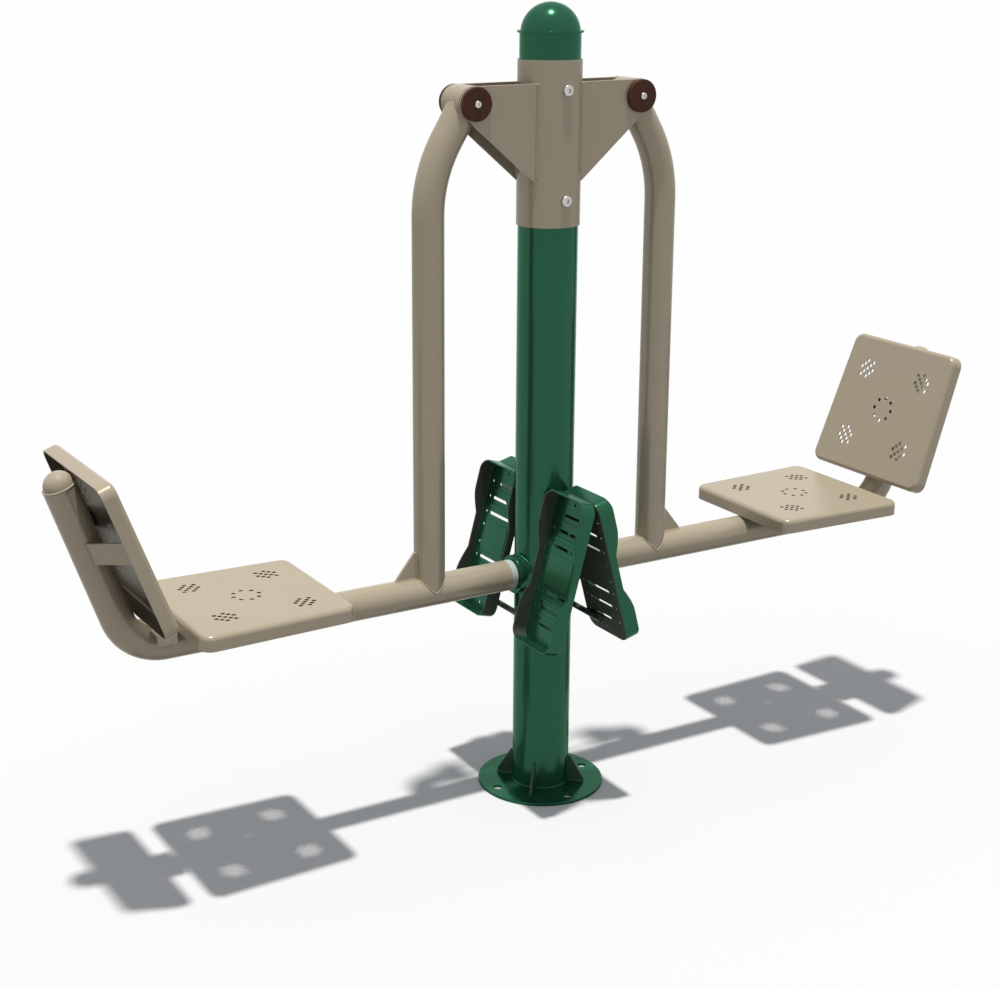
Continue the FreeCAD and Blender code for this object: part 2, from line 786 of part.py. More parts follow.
def upright_depth(height):
    """Depth of the upright's axis behind the face of the backrest, at a height up the pan."""
    corner = point(back_ahead_of_corner, 0, beam_z - back_bottom_z)
    climb = (height - corner.dot(back_up())) / upright_direction().dot(back_up())
    return -(corner + upright_direction() * climb).dot(back_facing())


def stud_and_nut(u, v, sheet):
    """Weld stud under the pan sheet and its nut behind a bracket of the given sheet."""
    foot = point(u, v, -pan_sheet)
    stud = cylinder(stud_diameter / 2, foot, Z * -1, stud_length)
    nut = hexagon(nut_flats, foot - Z * (sheet + nut_height), Z, nut_height)
    return stud, nut.cut(stud)


def seat_stud_places():
    middle = pan_length / 2
    return [(middle + a * channel_offset, b * stud_seat_v) for a in SIDES for b in SIDES]


def back_stud_places():
    middle = pan_length / 2 - wing_lift
    flange_middle = wing_foot_v + wing_flange / 2
    return [(middle + a * stud_back_spread, b * flange_middle) for a in SIDES for b in SIDES]


def stud_bores(places):
    return [cylinder(stud_hole / 2, point(u, v, -pan_depth), Z, pan_depth) for u, v in places]


def make_seat_brackets(beam):
    """Two channels across the beam, open below and saddled over it."""
    top = -pan_sheet
    bottom = -pan_depth
    half_length = channel_length / 2
    half_saddle = channel_saddle_width / 2
    channels = []
    for side in SIDES:
        low_u = pan_length / 2 + side * channel_offset - channel_width / 2
        high_u = low_u + channel_width
        body = box(point(low_u, -half_length, bottom), point(high_u, half_length, top))
        ears_low = point(low_u, -half_saddle, bottom - channel_saddle_drop)
        ears = box(ears_low, point(high_u, half_saddle, bottom))
        hollow = box(point(low_u + channel_sheet, -half_length, bottom - channel_saddle_drop),
                     point(high_u - channel_sheet, half_length, top - channel_sheet))
        channel = body.fuse(ears).removeSplitter().cut([hollow] + stud_bores(seat_stud_places()))
        channels.append(on_seat(channel).cut(beam))
    return channels


def make_back_bracket(beam):
    """Two wing plates from the sides of the upright to flanges on the back of the pan."""
    foot_w = -pan_sheet
    wing_middle = pan_length / 2 + wing_lift
    grip = point(0, tube_radius - wing_grip_side, -upright_depth(wing_middle))
    foot = point(0, wing_foot_v, foot_w)
    run = (grip - foot).normalize()
    behind = point(0, -run.z, run.y) * wing_sheet
    tip = grip + run * wing_overlap
    back_corner = foot + behind
    back_corner = back_corner + run * ((foot_w - wing_sheet - back_corner.z) / run.z)
    start_u = pan_length - wing_middle - wing_height / 2
    outline = [foot, tip, tip + behind, back_corner,
               point(0, wing_foot_v + wing_flange, foot_w - wing_sheet),
               point(0, wing_foot_v + wing_flange, foot_w)]
    wing = slab([corner + X * start_u for corner in outline], X * wing_height)
    wings = []
    for plate in both_ends(wing):
        wings.append(on_back(plate.cut(stud_bores(back_stud_places()))).cut(beam))
    return wings


def make_saddle_plate(beam):
    """Folded plate across the beam where the bend begins."""
    half = saddle_width / 2
    base = beam_z + tube_radius
    low = point(saddle_start_x, -half, base - saddle_drop)
    high = point(saddle_start_x + saddle_length, half, base + saddle_sheet)
    inner_low = point(saddle_start_x, -half + saddle_sheet, base - saddle_drop)
    inner_high = point(saddle_start_x + saddle_length, half - saddle_sheet, base)
    return box(low, high).cut(box(inner_low, inner_high)).cut(beam)


def make_pan_fixings():
    studs = []
    nuts = []
    for u, v in seat_stud_places():
        stud, nut = stud_and_nut(u, v, channel_sheet)
        studs.append(on_seat(stud))
        nuts.append(on_seat(nut))
    for u, v in back_stud_places():
        stud, nut = stud_and_nut(u, v, wing_sheet)
        studs.append(on_back(stud))
        nuts.append(on_back(nut))
    return studs, nuts


def export_pair(name, shapes):
    """Right-hand piece as made, and its mirror image on the left."""
    shapes = shapes if isinstance(shapes, list) else [shapes]
    export("right_" + name, shapes if len(shapes) > 1 else shapes[0])
    mirrored = [flip_x(shape) for shape in shapes]
    export("left_" + name, mirrored if len(mirrored) > 1 else mirrored[0])


def main():
    os.makedirs("parts", exist_ok=True)
    export("post_tube", make_post_tube())
    export("base_flange", make_base_flange())
    export("base_gussets", make_base_gussets())
    export("post_cap", make_post_cap())
    export("head_sleeve", make_head_sleeve())
    export("sleeve_bolts", make_sleeve_bolts())
    export("sleeve_nuts", make_sleeve_nuts())
    ear = make_ear()
    export_pair("front_ear", ear)
    export_pair("rear_ear", flip_y(ear))
    export_pair("stop_stub", make_stop_stub())
    tray = make_foot_tray()
    export_pair("rear_foot_plate", tray)
    export_pair("front_foot_plate", flip_y(tray))
    export_pair("foot_bar", make_foot_bar())
    export_pair("pivot_shaft", make_pivot_shaft())
    inner, outer, balls = make_bearing()
    export_pair("bearing_inner_rings", both_ends(inner))
    export_pair("bearing_outer_rings", both_ends(outer))
    export_pair("bearing_balls", balls + [flip_y(ball) for ball in balls])
    export_pair("bearing_spacers", make_bearing_spacers())
    export_pair("pivot_caps", both_ends(make_pivot_cap()))
    export_pair("cap_screws", both_ends(make_cap_screw()))
    export_pair("pivot_housing", make_pivot_housing())
    arm = swept(arm_path(), tube_radius)
    beam = beam_solid()
    export_pair("arm_tube", make_arm_tube(arm))
    export_pair("arm_gusset", make_arm_gusset(arm, beam))
    export_pair("beam_tube", make_beam_tube(beam))
    export_pair("beam_bumper", make_beam_bumper())
    export_pair("upright_cap", make_upright_cap())
    pan = make_pan()
    export_pair("seat_pan", on_seat(pan))
    export_pair("backrest_pan", on_back(pan))
    export_pair("seat_brackets", make_seat_brackets(beam))
    export_pair("back_bracket", make_back_bracket(beam))
    export_pair("saddle_plate", make_saddle_plate(beam))
    studs, nuts = make_pan_fixings()
    export_pair("pan_studs", studs)
    export_pair("pan_nuts", nuts)


main()
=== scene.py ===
import json
import math

import bmesh
import bpy
from bpy.props import FloatProperty, FloatVectorProperty, IntProperty, PointerProperty
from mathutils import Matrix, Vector


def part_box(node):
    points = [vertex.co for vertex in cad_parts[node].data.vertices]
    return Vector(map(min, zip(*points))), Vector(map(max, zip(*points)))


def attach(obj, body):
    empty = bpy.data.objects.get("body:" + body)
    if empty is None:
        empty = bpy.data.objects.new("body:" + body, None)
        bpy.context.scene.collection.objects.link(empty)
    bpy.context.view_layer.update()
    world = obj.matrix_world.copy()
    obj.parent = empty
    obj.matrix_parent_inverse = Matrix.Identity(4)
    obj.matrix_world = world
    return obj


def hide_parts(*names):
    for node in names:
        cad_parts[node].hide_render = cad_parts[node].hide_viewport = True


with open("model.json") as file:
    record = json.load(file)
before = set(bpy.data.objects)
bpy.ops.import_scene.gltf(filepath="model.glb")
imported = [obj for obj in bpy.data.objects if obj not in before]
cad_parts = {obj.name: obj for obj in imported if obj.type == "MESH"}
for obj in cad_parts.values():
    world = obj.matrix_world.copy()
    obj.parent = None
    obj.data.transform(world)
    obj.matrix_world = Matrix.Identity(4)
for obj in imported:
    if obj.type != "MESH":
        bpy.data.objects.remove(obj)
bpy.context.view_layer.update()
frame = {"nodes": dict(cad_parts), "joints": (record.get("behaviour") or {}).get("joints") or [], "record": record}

bl_info = {
    "name": "Outdoor Leg Press",
    "version": (1, 0, 0),
    "blender": (4, 5, 0),
    "location": "View3D > Sidebar > Leg Press",
    "description": "Dresses the packed leg press with coats, rounded edges and welds, and sets its stage",
    "category": "Object",
}

SIDES = {"left": -1, "right": 1}
ENDS = {"front": -1, "rear": 1}
SLOT_OF = {part["node"]: part["material_slot"] for part in frame["record"]["subparts"]}
BODY_OF = {node: body for body, nodes in frame["record"]["behaviour"]["bodies"].items() for node in nodes}
PIVOTS = {joint["child"]: Vector(joint["pos_m"]) for joint in frame["joints"]}
X_AXIS = Vector((1, 0, 0))
Y_AXIS = Vector((0, 1, 0))
Z_AXIS = Vector((0, 0, 1))


# Measures taken from the frame

def half_width(node, axis):
    low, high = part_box(node)
    return (high[axis] - low[axis]) / 2


POST_RADIUS = half_width("post_tube", 0)
SLEEVE_RADIUS = half_width("head_sleeve", 1)
FLANGE_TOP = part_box("base_flange")[1].z
GUSSET_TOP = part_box("base_gussets")[1].z
GUSSET_REACH = half_width("base_gussets", 0) * math.sqrt(2)
TUBE_RADIUS = half_width("right_beam_tube", 1)
BEAM_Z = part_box("right_beam_tube")[0].z + TUBE_RADIUS
ARM_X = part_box("right_arm_tube")[1].x - TUBE_RADIUS
HOUSING_RADIUS = half_width("right_pivot_housing", 0)
STUB_RADIUS = half_width("right_stop_stub", 1)
EAR_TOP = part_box("right_front_ear")[1].z
EAR_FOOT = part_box("right_front_ear")[0].z
EAR_OUTER_Y = -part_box("right_front_ear")[0].y
EAR_INNER_Y = -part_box("right_front_ear")[1].y
TRAY_INNER_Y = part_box("right_rear_foot_plate")[0].y
ARM_GUSSET_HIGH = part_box("right_arm_gusset")[1]


class LegPressCoats(bpy.types.PropertyGroup):
    """Colours and finishes of the coats, plastics and steel, with the dark colours of painted shade."""

    taupe: FloatVectorProperty(name="Taupe coat", description="Powder coat of arms, seats and sleeve",
                               subtype="COLOR", size=3, default=(0.432, 0.371, 0.279))
    green: FloatVectorProperty(name="Green coat", description="Powder coat of the post and foot trays",
                               subtype="COLOR", size=3, default=(0.0235, 0.1105, 0.0600))
    brown: FloatVectorProperty(name="Brown plastic", description="Moulded covers over the pivots",
                               subtype="COLOR", size=3, default=(0.078, 0.030, 0.018))
    rubber: FloatVectorProperty(name="Pale rubber", description="Buffers in the ends of the beams",
                                subtype="COLOR", size=3, default=(0.450, 0.525, 0.485))
    steel: FloatVectorProperty(name="Bright steel", description="Bolts, screws, shafts and bearings",
                               subtype="COLOR", size=3, default=(0.540, 0.525, 0.510))
    # The next two colours are painted shade: dark tones that the coats turn to on faces that lie in shade.
    taupe_painted_shade: FloatVectorProperty(name="Taupe painted shade",
                                      description="Painted shade behind the pans and inside the ears",
                                      subtype="COLOR", size=3, default=(0.116, 0.092, 0.067))
    green_painted_shade: FloatVectorProperty(name="Green painted shade", description="Painted shade in the trays, on webs and on bars",
                                      subtype="COLOR", size=3, default=(0.072, 0.072, 0.060))
    taupe_roughness: FloatProperty(name="Taupe roughness", description="Mean roughness of the taupe coat",
                                   subtype="FACTOR", min=0, max=1, default=0.26)
    green_roughness: FloatProperty(name="Green roughness", description="Mean roughness of the green coat",
                                   subtype="FACTOR", min=0, max=1, default=0.20)
    taupe_metal: FloatProperty(name="Taupe metal", description="Share of metal flake in the taupe coat",
                               subtype="FACTOR", min=0, max=1, default=0.16)
    green_metal: FloatProperty(name="Green metal", description="Share of metal flake in the green coat",
                               subtype="FACTOR", min=0, max=1, default=0.58)
    green_edge: FloatVectorProperty(name="Green edge", description="Tint of the green coat at a grazing angle",
                                    subtype="COLOR", size=3, default=(0.400, 0.680, 0.540))
    peel_grain: FloatProperty(name="Peel grain", description="Width of one orange-peel cell in the coats",
                              unit="LENGTH", default=0.0022)
    peel_depth: FloatProperty(name="Peel depth", description="Height of the orange peel in the coats",
                              unit="LENGTH", default=0.00003)


class LegPressEdges(bpy.types.PropertyGroup):
    """Rounding of cut and pressed edges."""

    plate: FloatProperty(name="Plate edge", description="Rounding on the edges of flat plates",
                         unit="LENGTH", default=0.0011)
    sheet: FloatProperty(name="Sheet edge", description="Rounding on the edges of pressed sheet",
                         unit="LENGTH", default=0.0006)
    fine: FloatProperty(name="Fine edge", description="Rounding on small turned and moulded pieces",
                        unit="LENGTH", default=0.00035)
    segments: IntProperty(name="Segments", description="Steps round each edge", min=1, max=6, default=2)


class LegPressWelds(bpy.types.PropertyGroup):
    """Size of the weld beads."""

    radius: FloatProperty(name="Bead radius", description="Half the width of a weld bead",
                          unit="LENGTH", default=0.0026)
    small_radius: FloatProperty(name="Small bead radius", description="Half the width of a finer bead",
                                unit="LENGTH", default=0.0018)
    pitch: FloatProperty(name="Ripple pitch", description="Distance from one ripple of a bead to the next",
                         unit="LENGTH", default=0.0032)
    ripple: FloatProperty(name="Ripple height", description="Share of the radius that the ripples add",
                          subtype="FACTOR", min=0, max=1, default=0.16)


class LegPressStage(bpy.types.PropertyGroup):
    """Camera, lamps and floor."""

    camera_place: FloatVectorProperty(name="Camera place", description="Where the camera stands",
                                      subtype="TRANSLATION", unit="LENGTH", size=3,
                                      default=(-1.862947, -2.889115, 1.668340))
    camera_heading: FloatProperty(name="Camera heading", description="Turn of the view to the right of +Y",
                                  subtype="ANGLE", default=math.radians(29.903))
    camera_dip: FloatProperty(name="Camera dip", description="Tilt of the view below the horizon",
                              subtype="ANGLE", default=math.radians(16.159))
    lens: FloatProperty(name="Lens", description="Focal length on a 36 mm sensor", unit="CAMERA", default=65.755)
    shift_x: FloatProperty(name="Shift X", description="Sideways shift of the lens", default=0.04479)
    shift_y: FloatProperty(name="Shift Y", description="Upward shift of the lens", default=-0.02940)
    sun_strength: FloatProperty(name="Sun strength", description="Strength of the high lamp", default=3.1)
    sun_spread: FloatProperty(name="Sun spread", description="Apparent width of the high lamp",
                              subtype="ANGLE", default=math.radians(2.5))
    sun_aim: FloatVectorProperty(name="Sun aim", description="Direction in which the high lamp shines",
                                 subtype="DIRECTION", size=3, default=(0.03, 0.08, -1.0))
    sun_colour: FloatVectorProperty(name="Sun colour", description="Tint of the high lamp", subtype="COLOR",
                                    size=3, default=(1.000, 0.980, 0.935))
    sky_strength: FloatProperty(name="Sky strength", description="Even light from all round", default=0.41)
    sky_colour: FloatVectorProperty(name="Sky colour", description="Tint of the even light", subtype="COLOR",
                                    size=3, default=(0.970, 1.000, 1.030))
    floor_colour: FloatVectorProperty(name="Floor colour", description="Pale floor as the camera sees it",
                                      subtype="COLOR", size=3, default=(0.715, 0.722, 0.735))
    floor_bounce: FloatVectorProperty(name="Floor bounce", description="Floor colour in the light it sends back",
                                      subtype="COLOR", size=3, default=(0.240, 0.243, 0.238))
    floor_size: FloatProperty(name="Floor size", description="Length of the floor's sides", unit="LENGTH",
                              default=160.0)


# Shader graphs

class Value:
    """A shader socket that can be used in Python expressions."""

    def __init__(self, graph, socket):
        self.graph = graph
        self.socket = socket

    def combine(self, operation, first, second):
        return self.graph.node("ShaderNodeMath", {"operation": operation}, {0: first, 1: second})

    def __add__(self, other):
        return self.combine("ADD", self, other)

    def __radd__(self, other):
        return self.combine("ADD", other, self)

    def __mul__(self, other):
        return self.combine("MULTIPLY", self, other)

    def __rmul__(self, other):
        return self.combine("MULTIPLY", other, self)


class Graph:
    """The node tree of one material or world."""

    def __init__(self, tree):
        self.tree = tree
        tree.nodes.clear()

    def node(self, kind, settings=None, inputs=None, output=0):
        """Adds a node, sets it up and wires its sockets; gives back one of its outputs."""
        made = self.tree.nodes.new(kind)
        for name, setting in (settings or {}).items():
            setattr(made, name, setting)
        for name, given in (inputs or {}).items():
            if isinstance(given, Value):
                self.tree.links.new(given.socket, made.inputs[name])
            else:
                made.inputs[name].default_value = given
        return Value(self, made.outputs[output]) if made.outputs else None

    def noise(self, place, scale, detail=2.0, roughness=0.5):
        return self.node("ShaderNodeTexNoise", {"noise_dimensions": "3D"},
                         {"Vector": place, "Scale": scale, "Detail": detail, "Roughness": roughness})

    def place(self):
        return self.node("ShaderNodeTexCoord", output="Object")

    def mix(self, factor, first, second):
        return self.node("ShaderNodeMix", {"data_type": "RGBA"}, {0: factor, 6: first, 7: second}, output=2)

    def tones(self, factor, colour, shares):
        """Goes from a darker to a lighter tone of a colour, each a share of it."""
        dark, light = [(*(min(1.0, channel * share) for channel in colour), 1.0) for share in shares]
        return self.mix(factor, dark, light)

    def bump(self, height, depth):
        return self.node("ShaderNodeBump", inputs={"Height": height, "Distance": depth, "Strength": 1.0})


def material(name, build):
    """The named material, built once."""
    found = bpy.data.materials.get(name)
    if found is None:
        found = bpy.data.materials.new(name)
        found.use_nodes = True
        build(Graph(found.node_tree))
    return found


def surface(graph, inputs):
    shader = graph.node("ShaderNodeBsdfPrincipled", inputs=inputs)
    graph.node("ShaderNodeOutputMaterial", inputs={"Surface": shader})


# Painted shade: a face attribute, from nought to one, says how far a coat turns to its painted-shade colour.
PAINTED_SHADE_ATTRIBUTE = "painted_shade_share"
CLOUD_SCALE = 5.0
CLOUD_SHARE, SPECKLE_SHARE = 0.7, 0.3
SPECKLE_FINENESS = 1.6
FULL_TONES = (0.90, 1.10)
# Tones of the painted-shade colour.
PAINTED_SHADE_TONES = (0.75, 1.25)
# Painted shade on a marked face: its least share, and how much the clouding adds to it.
PAINTED_SHADE_LEAST, PAINTED_SHADE_SPREAD = 0.72, 0.56
GLOSS_SPREAD = 0.06
# Roughness that the painted shade adds.
PAINTED_SHADE_ROUGHNESS = 0.14


def powder_coat(name, colour, painted_shade_colour, roughness, peel_share, metal, constants):
    """Sprayed and baked coat with orange peel and faint clouding, which turns to a dark painted shade on marked
    faces.
    """
    coats = bpy.context.scene.leg_press_coats
    # Metal shares of the coat and of its painted shade.
    full_metal, painted_shade_metal = metal

    def build(graph):
        place = graph.place()
        clouds = graph.noise(place, CLOUD_SCALE, detail=4.0, roughness=0.6)
        speckle = graph.noise(place, SPECKLE_FINENESS / coats.peel_grain, detail=1.0)
        tone = clouds * CLOUD_SHARE + speckle * SPECKLE_SHARE
        full = graph.tones(tone, colour, FULL_TONES)
        # Painted-shade colour, in tones that follow the clouding.
        painted_shade_tone = graph.tones(tone, painted_shade_colour, PAINTED_SHADE_TONES)
        # How far each face is marked with painted shade, and that share mottled by the clouding.
        painted_shade = graph.node("ShaderNodeAttribute", {"attribute_name": PAINTED_SHADE_ATTRIBUTE}, output="Fac")
        reach = painted_shade * (PAINTED_SHADE_LEAST + PAINTED_SHADE_SPREAD * clouds)
        peel = graph.noise(place, 1.0 / coats.peel_grain, detail=1.5, roughness=0.4)
        gloss = roughness - GLOSS_SPREAD + clouds * GLOSS_SPREAD + peel * GLOSS_SPREAD
        inputs = {"Base Color": graph.mix(reach, full, painted_shade_tone),
                  "Roughness": gloss + reach * PAINTED_SHADE_ROUGHNESS,
                  "Metallic": full_metal + reach * (painted_shade_metal - full_metal),
                  "Normal": graph.bump(peel, coats.peel_depth * peel_share)}
        surface(graph, inputs | constants)

    return material(name, build)


TAUPE_PEEL = 0.6
# Metal share in the painted shade of the taupe coat.
TAUPE_PAINTED_SHADE_METAL = 0.30
TAUPE_SPECULAR = 0.08
GREEN_PEEL = 0.3
# Metal share in the painted shade of the green coat.
GREEN_PAINTED_SHADE_METAL = 0.0
GREEN_SPECULAR = 0.30


def taupe_coat():
    coats = bpy.context.scene.leg_press_coats
    return powder_coat("taupe_powder_coat", coats.taupe, coats.taupe_painted_shade, coats.taupe_roughness, TAUPE_PEEL,
                       (coats.taupe_metal, TAUPE_PAINTED_SHADE_METAL), {"Specular IOR Level": TAUPE_SPECULAR})


def green_coat():
    coats = bpy.context.scene.leg_press_coats
    constants = {"Specular IOR Level": GREEN_SPECULAR, "Specular Tint": (*coats.green_edge, 1.0)}
    return powder_coat("green_powder_coat", coats.green, coats.green_painted_shade, coats.green_roughness, GREEN_PEEL,
                       (coats.green_metal, GREEN_PAINTED_SHADE_METAL), constants)


MOULD_GRAIN_SCALE = 1500.0
MOULD_GRAIN_DEPTH = 0.00003
MOULD_FLOW_SCALE = 40.0
MOULD_TONES = (0.85, 1.15)
MOULD_GLOSS_SPREAD = 0.05


def moulded_plastic(name, colour, roughness, specular):
    """Moulded cap: spark-eroded grain and faint flow clouding."""

    def build(graph):
        place = graph.place()
        grain = graph.noise(place, MOULD_GRAIN_SCALE)
        flow = graph.noise(place, MOULD_FLOW_SCALE)
        gloss = roughness - MOULD_GLOSS_SPREAD + grain * (2 * MOULD_GLOSS_SPREAD)
        surface(graph, {"Base Color": graph.tones(flow, colour, MOULD_TONES), "Roughness": gloss,
                        "Specular IOR Level": specular, "Normal": graph.bump(grain, MOULD_GRAIN_DEPTH)})

    return material(name, build)


def brown_plastic():
    return moulded_plastic("moulded_brown", bpy.context.scene.leg_press_coats.brown,
                           roughness=0.42, specular=0.12)


def taupe_plastic():
    return moulded_plastic("moulded_taupe", bpy.context.scene.leg_press_coats.taupe,
                           roughness=0.40, specular=0.18)


def pale_rubber():
    return moulded_plastic("pale_rubber", bpy.context.scene.leg_press_coats.rubber,
                           roughness=0.55, specular=0.20)


TURNING_STRETCH = (1.0, 14.0, 1.0)
TURNING_SCALE = 420.0
TURNING_DEPTH = 0.00002
STEEL_CLOUD_SCALE = 60.0
STEEL_TONES = (0.86, 1.06)
STEEL_ROUGHNESS, STEEL_GLOSS_SPREAD = 0.22, 0.16


def bright_steel():
    """Zinc-bright steel with fine turning marks."""
    coats = bpy.context.scene.leg_press_coats

    def build(graph):
        place = graph.place()
        stretched = graph.node("ShaderNodeMapping", inputs={"Vector": place, "Scale": TURNING_STRETCH})
        marks = graph.noise(stretched, TURNING_SCALE, detail=3.0)
        cloud = graph.noise(place, STEEL_CLOUD_SCALE, detail=3.0)
        surface(graph, {"Base Color": graph.tones(cloud, coats.steel, STEEL_TONES), "Metallic": 1.0,
                        "Roughness": STEEL_ROUGHNESS + marks * STEEL_GLOSS_SPREAD,
                        "Normal": graph.bump(marks, TURNING_DEPTH)})

    return material("bright_steel", build)


FINISHES = {"taupe_coat": taupe_coat, "green_coat": green_coat, "brown_plastic": brown_plastic,
            "taupe_plastic": taupe_plastic, "bumper_rubber": pale_rubber, "steel": bright_steel}


# Pieces

MERGE_DISTANCE = 0.00001
FLAT_ANGLE = math.radians(0.3)
HARD_ANGLE = math.radians(35)


def coat(piece, slot):
    """Gives a piece the finish of a record slot."""
    piece.data.materials.clear()
    piece.data.materials.append(FINISHES[slot]())


def coat_nodes(*nodes):
    """Finishes CAD nodes whose shape stays as it is."""
    for node in nodes:
        coat(frame["nodes"][node], SLOT_OF[node])


def new_piece(name, mesh, body, slot):
    piece = bpy.data.objects.new(name, mesh)
    bpy.context.scene.collection.objects.link(piece)
    coat(piece, slot)
    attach(piece, body)
    return piece


def shade_smooth(mesh):
    """Smooth shading, with creases only where the surface really turns."""
    for face in mesh.faces:
        face.smooth = True
    for edge in mesh.edges:
        edge.smooth = not (edge.is_manifold and edge.calc_face_angle() > HARD_ANGLE)


def to_mesh(shape, name):
    mesh = bpy.data.meshes.new(name)
    shape.to_mesh(mesh)
    shape.free()
    baked_normals = mesh.attributes.get("custom_normal")
    if baked_normals:
        mesh.attributes.remove(baked_normals)
    return mesh


def rounded_piece(node, rounding, flat=True, painted_shade=None):
    """Merged copy of a CAD node with its hard edges rounded, which stands for the node."""
    shape = bmesh.new()
    shape.from_mesh(frame["nodes"][node].data)
    bmesh.ops.remove_doubles(shape, verts=shape.verts, dist=MERGE_DISTANCE)
    if flat:
        bmesh.ops.dissolve_limit(shape, angle_limit=FLAT_ANGLE, verts=shape.verts, edges=shape.edges)
    hard = [edge for edge in shape.edges if edge.is_manifold and edge.calc_face_angle() > HARD_ANGLE]
    bmesh.ops.bevel(shape, geom=hard, offset=rounding, offset_type="OFFSET", affect="EDGES",
                    segments=bpy.context.scene.leg_press_edges.segments, profile=0.5, material=-1,
                    clamp_overlap=False)
    shade_smooth(shape)
    # Marks each face with its share of painted shade.
    if painted_shade:
        layer = shape.faces.layers.float.new(PAINTED_SHADE_ATTRIBUTE)
        for face in shape.faces:
            face[layer] = painted_shade(face.calc_center_median(), face.normal)
    piece = new_piece(node + "_finished", to_mesh(shape, node + "_finished"), BODY_OF[node], SLOT_OF[node])
    weighted = piece.modifiers.new("Even faces", "WEIGHTED_NORMAL")
    weighted.keep_sharp = True
    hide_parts(node)


# Painted shade: the share of shade painted on a face, at a place and with a normal

def eased(value, low, high):
    """Rises smoothly from nought to one between two values."""
    share = min(1.0, max(0.0, (value - low) / (high - low)))
    return share * share * (3 - 2 * share)


def evenly(share):
    """Paints the same share of shade over a whole piece."""
    return lambda place, normal: share


# Shares of painted shade on the base webs, the foot bars and the ears.
WEB_PAINTED_SHADE = 0.6
BAR_PAINTED_SHADE = 0.8
EAR_PAINTED_SHADE = 0.4
TURNED_AWAY = (0.3, 0.8)
TRAY_TILT = math.radians(15)
TRAY_WALL_FOOT = 0.0045
TRAY_EDGE = 0.012
TRAY_EDGE_TURN = (0.6, 0.9)
# Painted shade on the cut edge of the tray wall on the +Y side.
TRAY_EDGE_PAINTED_SHADE = 0.7
TRAY_CORNER = 0.042


def tray_painted_shade(side, end):
    """Painted shade on the back of a foot tray, the insides of its walls, a cut edge and the wall along the post."""
    low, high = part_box(f"{side}_{end}_foot_plate")
    middle = (low + high) / 2
    facing = Vector((SIDES[side] * math.cos(TRAY_TILT), 0, math.sin(TRAY_TILT)))
    ridge = Vector((0, 0, high.z))

    def painted_shade(place, normal):
        height = (place - ridge).dot(facing)
        across = place.y - middle.y
        back = eased(-normal.dot(facing), *TURNED_AWAY)
        inside = normal.y * across < 0 and height > TRAY_WALL_FOOT
        along_post = across * ENDS[end] < 0
        wall = eased(abs(normal.y), *TURNED_AWAY) if inside or along_post else 0.0
        on_edge = height > TRAY_EDGE and across > TRAY_CORNER
        edge = TRAY_EDGE_PAINTED_SHADE * eased(normal.dot(facing), *TRAY_EDGE_TURN) if on_edge else 0.0
        return max(back, wall, edge)

    return painted_shade


PAN_SHEET = 0.003
PAN_DEPTH = 0.0288
PAN_RIM_TURN = (0.2, 0.6)
HOLE_WALL = 0.3
BACK_RECLINE = math.radians(20.2)


def pan_painted_shade(node, recline=0.0):
    """Painted shade on the hollow side of a seat or backrest pan."""
    low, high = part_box(node)
    middle = (low + high) / 2
    side = 1 if middle.x > 0 else -1
    facing = Vector((-side * math.sin(recline), 0, math.cos(recline)))
    front = max((place.co - middle).dot(facing) for place in frame["nodes"][node].data.vertices)

    def painted_shade(place, normal):
        depth = front - (place - middle).dot(facing)
        if depth > PAN_DEPTH - PAN_SHEET:
            return 0.0
        # Painted shade in the walls of the holes.
        if depth < PAN_SHEET and abs(normal.dot(facing)) < HOLE_WALL:
            return 1.0
        towards = middle - place
        towards -= facing * towards.dot(facing)
        under = eased(-normal.dot(facing), *TURNED_AWAY)
        rim = eased(normal.dot(towards.normalized()), *PAN_RIM_TURN) if depth > PAN_SHEET else 0.0
        return max(under, rim)

    return painted_shade


def ear_painted_shade(end):
    """Painted shade on the face of an ear that looks at the pivot."""
    return lambda place, normal: EAR_PAINTED_SHADE * eased(-normal.y * ENDS[end], *TURNED_AWAY)


# Weld seams

def line(start, end):
    return [Vector(start), Vector(end)]


def arc(centre, first, second, radius, from_angle, to_angle, steps=48):
    """Points on a circle in the plane of two directions."""
    points = []
    for step in range(steps + 1):
        turn = from_angle + (to_angle - from_angle) * step / steps
        points.append(centre + (first * math.cos(turn) + second * math.sin(turn)) * radius)
    return points


def saddle(foot, along, side, branch_radius, centre, axis, main_radius, steps=96):
    """Seam where a round branch, leaving foot along a direction, comes out of a round tube."""
    across = along.cross(side).normalized()
    points = []
    for step in range(steps + 1):
        turn = 2 * math.pi * step / steps
        start = foot + (side * math.cos(turn) + across * math.sin(turn)) * branch_radius
        offset = start - centre
        offset -= axis * offset.dot(axis)
        heading = along - axis * along.dot(axis)
        half = offset.dot(heading) / heading.length_squared
        rest = (offset.length_squared - main_radius ** 2) / heading.length_squared
        points.append(start + along * (-half + math.sqrt(max(0.0, half * half - rest))))
    return points


def spaced(points, step):
    """The same route with evenly spaced points."""
    even = [points[0].copy()]
    carry = 0.0
    for start, end in zip(points, points[1:]):
        length = (end - start).length
        distance = step - carry
        while distance <= length:
            even.append(start.lerp(end, distance / length))
            distance += step
        carry = length - (distance - step)
    even.append(points[-1].copy())
    return even


RIPPLE_STEPS = 4
BEAD_END = 0.55
BEAD_END_RISE = 0.15


